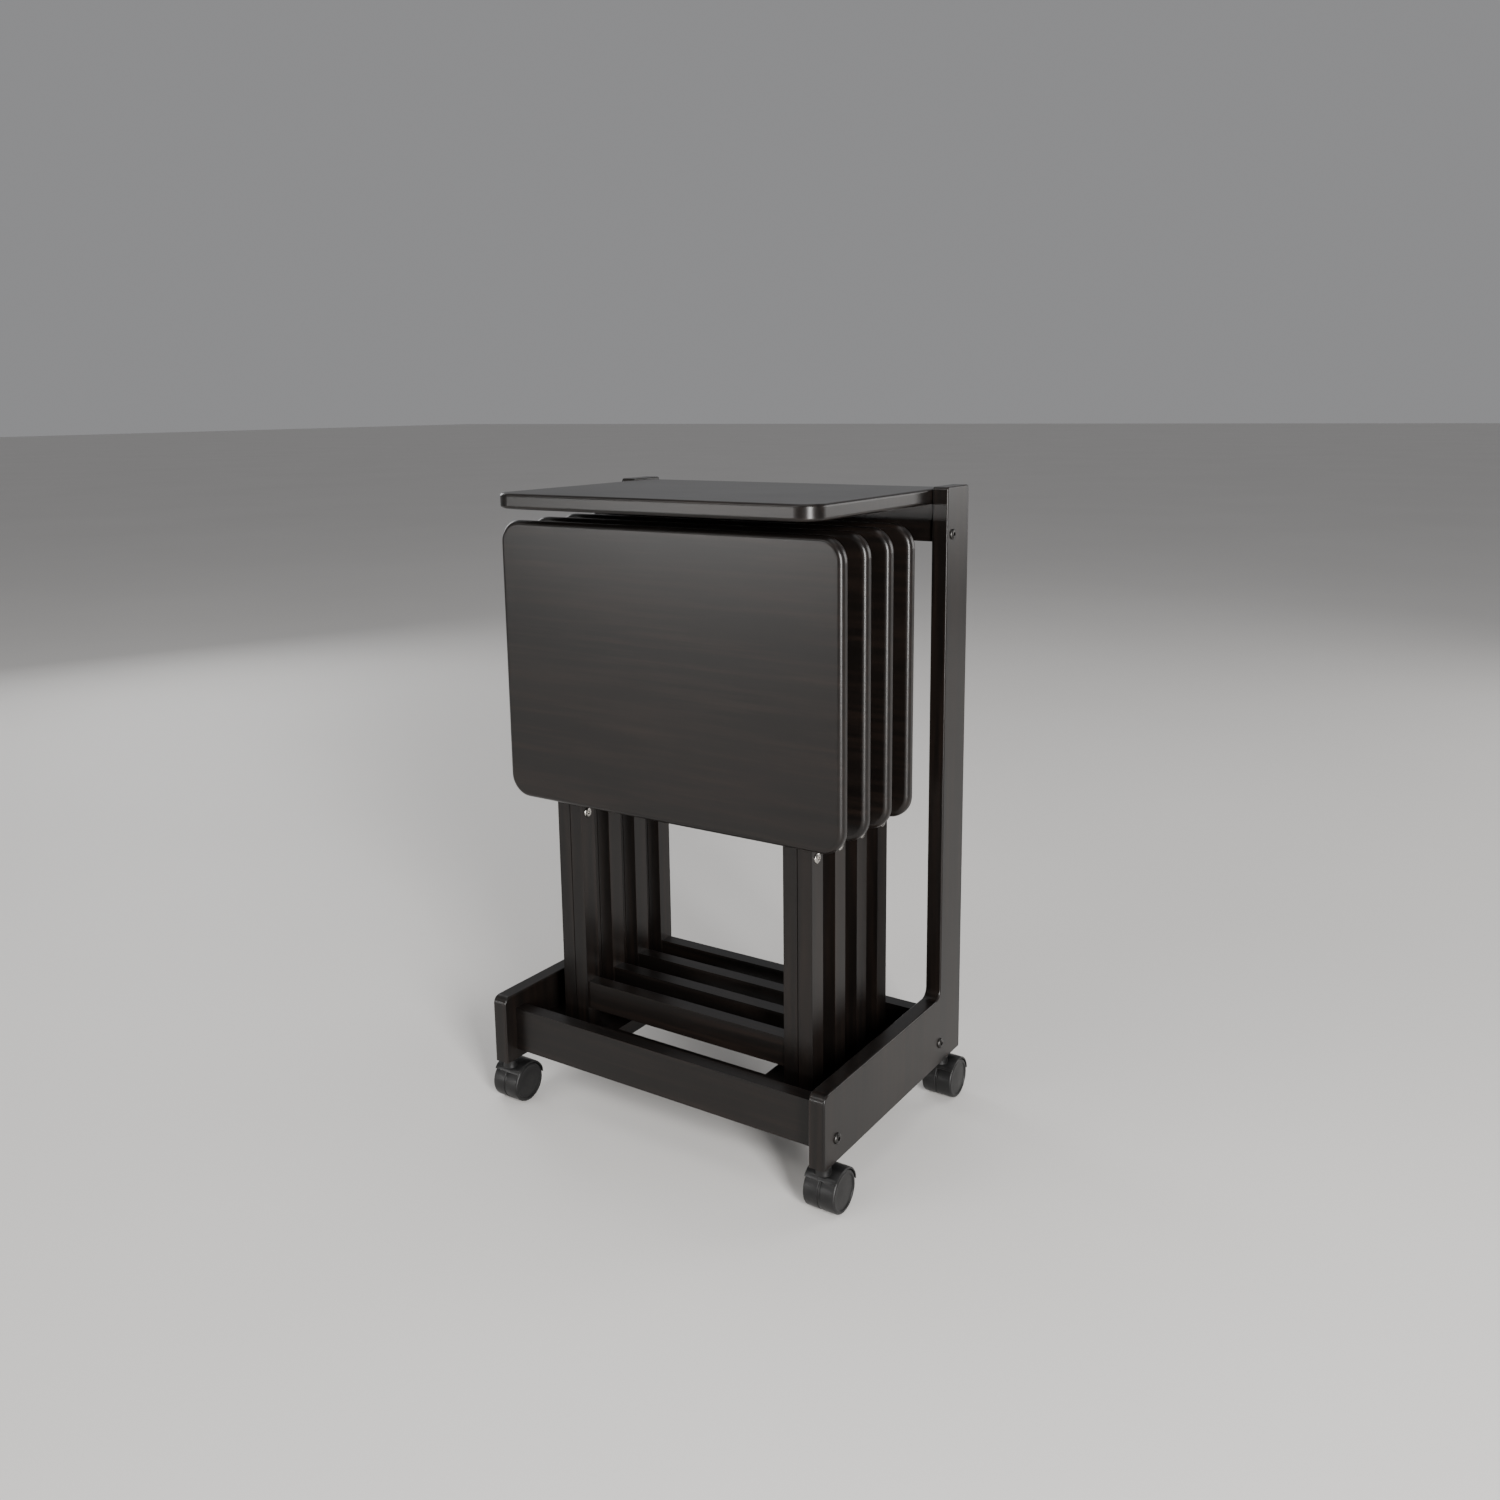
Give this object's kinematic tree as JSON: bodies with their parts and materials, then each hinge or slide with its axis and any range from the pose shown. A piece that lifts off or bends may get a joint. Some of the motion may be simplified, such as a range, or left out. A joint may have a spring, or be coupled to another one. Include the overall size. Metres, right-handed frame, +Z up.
{
  "type": "folding tray table set on a rolling cart",
  "caption": "Folded X-leg wooden tray tables standing upright in a rolling storage cart with a top board, L-shaped side frames and twin-wheel casters.",
  "frame": {"origin": "on the floor, at the centre of the overall footprint", "axes": "+X to the object's right seen from the front, +Y to the back, +Z up"},
  "size_m": [0.5084, 0.358, 0.7895],
  "materials": {
    "stained_wood": "satin stain",
    "stained_top": "satin stain",
    "black_nylon": "satin",
    "dark_steel": "dark plated",
    "zinc_steel": "bright plated"
  },
  "bodies": {
    "cart": {"cart_back_board": "stained_wood", "cart_barrel_nuts": "dark_steel", "cart_caster_sockets": "black_nylon", "cart_floor_back": "stained_wood", "cart_floor_front": "stained_wood", "cart_floor_left": "stained_wood", "cart_floor_right": "stained_wood", "cart_frame_bolts": "dark_steel", "cart_front_board": "stained_wood", "cart_side_left": "stained_wood", "cart_side_right": "stained_wood", "cart_top_board": "stained_top", "cart_top_rail": "stained_wood"},
    "front_table_frames": {"table_1_outer_legs": "stained_wood", "table_1_inner_legs": "stained_wood", "table_1_rails": "stained_wood", "table_1_pivot_bolts": "zinc_steel", "table_1_hinge_pins": "zinc_steel"},
    "front_table_tray": {"table_1_tray": "stained_top", "table_1_hinge_cleats": "stained_wood", "table_1_rest_saddles": "stained_wood"},
    "second_table": {"table_2_hinge_cleats": "stained_wood", "table_2_hinge_pins": "zinc_steel", "table_2_inner_legs": "stained_wood", "table_2_outer_legs": "stained_wood", "table_2_pivot_bolts": "zinc_steel", "table_2_rails": "stained_wood", "table_2_rest_saddles": "stained_wood", "table_2_tray": "stained_top"},
    "third_table": {"table_3_hinge_cleats": "stained_wood", "table_3_hinge_pins": "zinc_steel", "table_3_inner_legs": "stained_wood", "table_3_outer_legs": "stained_wood", "table_3_pivot_bolts": "zinc_steel", "table_3_rails": "stained_wood", "table_3_rest_saddles": "stained_wood", "table_3_tray": "stained_top"},
    "fourth_table": {"table_4_hinge_cleats": "stained_wood", "table_4_hinge_pins": "zinc_steel", "table_4_inner_legs": "stained_wood", "table_4_outer_legs": "stained_wood", "table_4_pivot_bolts": "zinc_steel", "table_4_rails": "stained_wood", "table_4_rest_saddles": "stained_wood", "table_4_tray": "stained_top"},
    "caster_front_left_swivel": {"caster_front_left_hood": "black_nylon", "caster_front_left_pins": "zinc_steel"},
    "caster_front_left_wheels": {"caster_front_left_wheels": "black_nylon"},
    "caster_front_right_swivel": {"caster_front_right_hood": "black_nylon", "caster_front_right_pins": "zinc_steel"},
    "caster_front_right_wheels": {"caster_front_right_wheels": "black_nylon"},
    "caster_back_left_swivel": {"caster_back_left_hood": "black_nylon", "caster_back_left_pins": "zinc_steel"},
    "caster_back_left_wheels": {"caster_back_left_wheels": "black_nylon"},
    "caster_back_right_swivel": {"caster_back_right_hood": "black_nylon", "caster_back_right_pins": "zinc_steel"},
    "caster_back_right_wheels": {"caster_back_right_wheels": "black_nylon"}
  },
  "joints": [
    {"name": "front_table_lift_out", "type": "hinge", "parent": "cart", "child": "front_table_frames", "pos_m": [0, -0.329, 0.128], "axis": [1, 0, 0], "range_deg": [0, 35]},
    {"name": "front_tray_swing", "type": "hinge", "parent": "front_table_frames", "child": "front_table_tray", "pos_m": [0, -0.094, 0.685], "axis": [1, 0, 0], "range_deg": [-27, 0]},
    {"name": "second_table_lift", "type": "slide", "parent": "cart", "child": "second_table", "axis": [0, 0, 1], "range_m": [0, 0.012]},
    {"name": "third_table_lift", "type": "slide", "parent": "cart", "child": "third_table", "axis": [0, 0, 1], "range_m": [0, 0.012]},
    {"name": "fourth_table_lift", "type": "slide", "parent": "cart", "child": "fourth_table", "axis": [0, 0, 1], "range_m": [0, 0.012]},
    {"name": "swivel_front_left", "type": "hinge", "parent": "cart", "child": "caster_front_left_swivel", "pos_m": [-0.23375, -0.163, 0.05], "axis": [0, 0, 1], "continuous": true},
    {"name": "wheel_front_left", "type": "hinge", "parent": "caster_front_left_swivel", "child": "caster_front_left_wheels", "pos_m": [-0.23375, -0.151, 0.025], "axis": [1, 0, 0], "continuous": true},
    {"name": "swivel_front_right", "type": "hinge", "parent": "cart", "child": "caster_front_right_swivel", "pos_m": [0.23375, -0.163, 0.05], "axis": [0, 0, 1], "continuous": true},
    {"name": "wheel_front_right", "type": "hinge", "parent": "caster_front_right_swivel", "child": "caster_front_right_wheels", "pos_m": [0.23375, -0.151, 0.025], "axis": [1, 0, 0], "continuous": true},
    {"name": "swivel_back_left", "type": "hinge", "parent": "cart", "child": "caster_back_left_swivel", "pos_m": [-0.23375, 0.139, 0.05], "axis": [0, 0, 1], "continuous": true},
    {"name": "wheel_back_left", "type": "hinge", "parent": "caster_back_left_swivel", "child": "caster_back_left_wheels", "pos_m": [-0.23375, 0.151, 0.025], "axis": [1, 0, 0], "continuous": true},
    {"name": "swivel_back_right", "type": "hinge", "parent": "cart", "child": "caster_back_right_swivel", "pos_m": [0.23375, 0.139, 0.05], "axis": [0, 0, 1], "continuous": true},
    {"name": "wheel_back_right", "type": "hinge", "parent": "caster_back_right_swivel", "child": "caster_back_right_wheels", "pos_m": [0.23375, 0.151, 0.025], "axis": [1, 0, 0], "continuous": true}
  ]
}
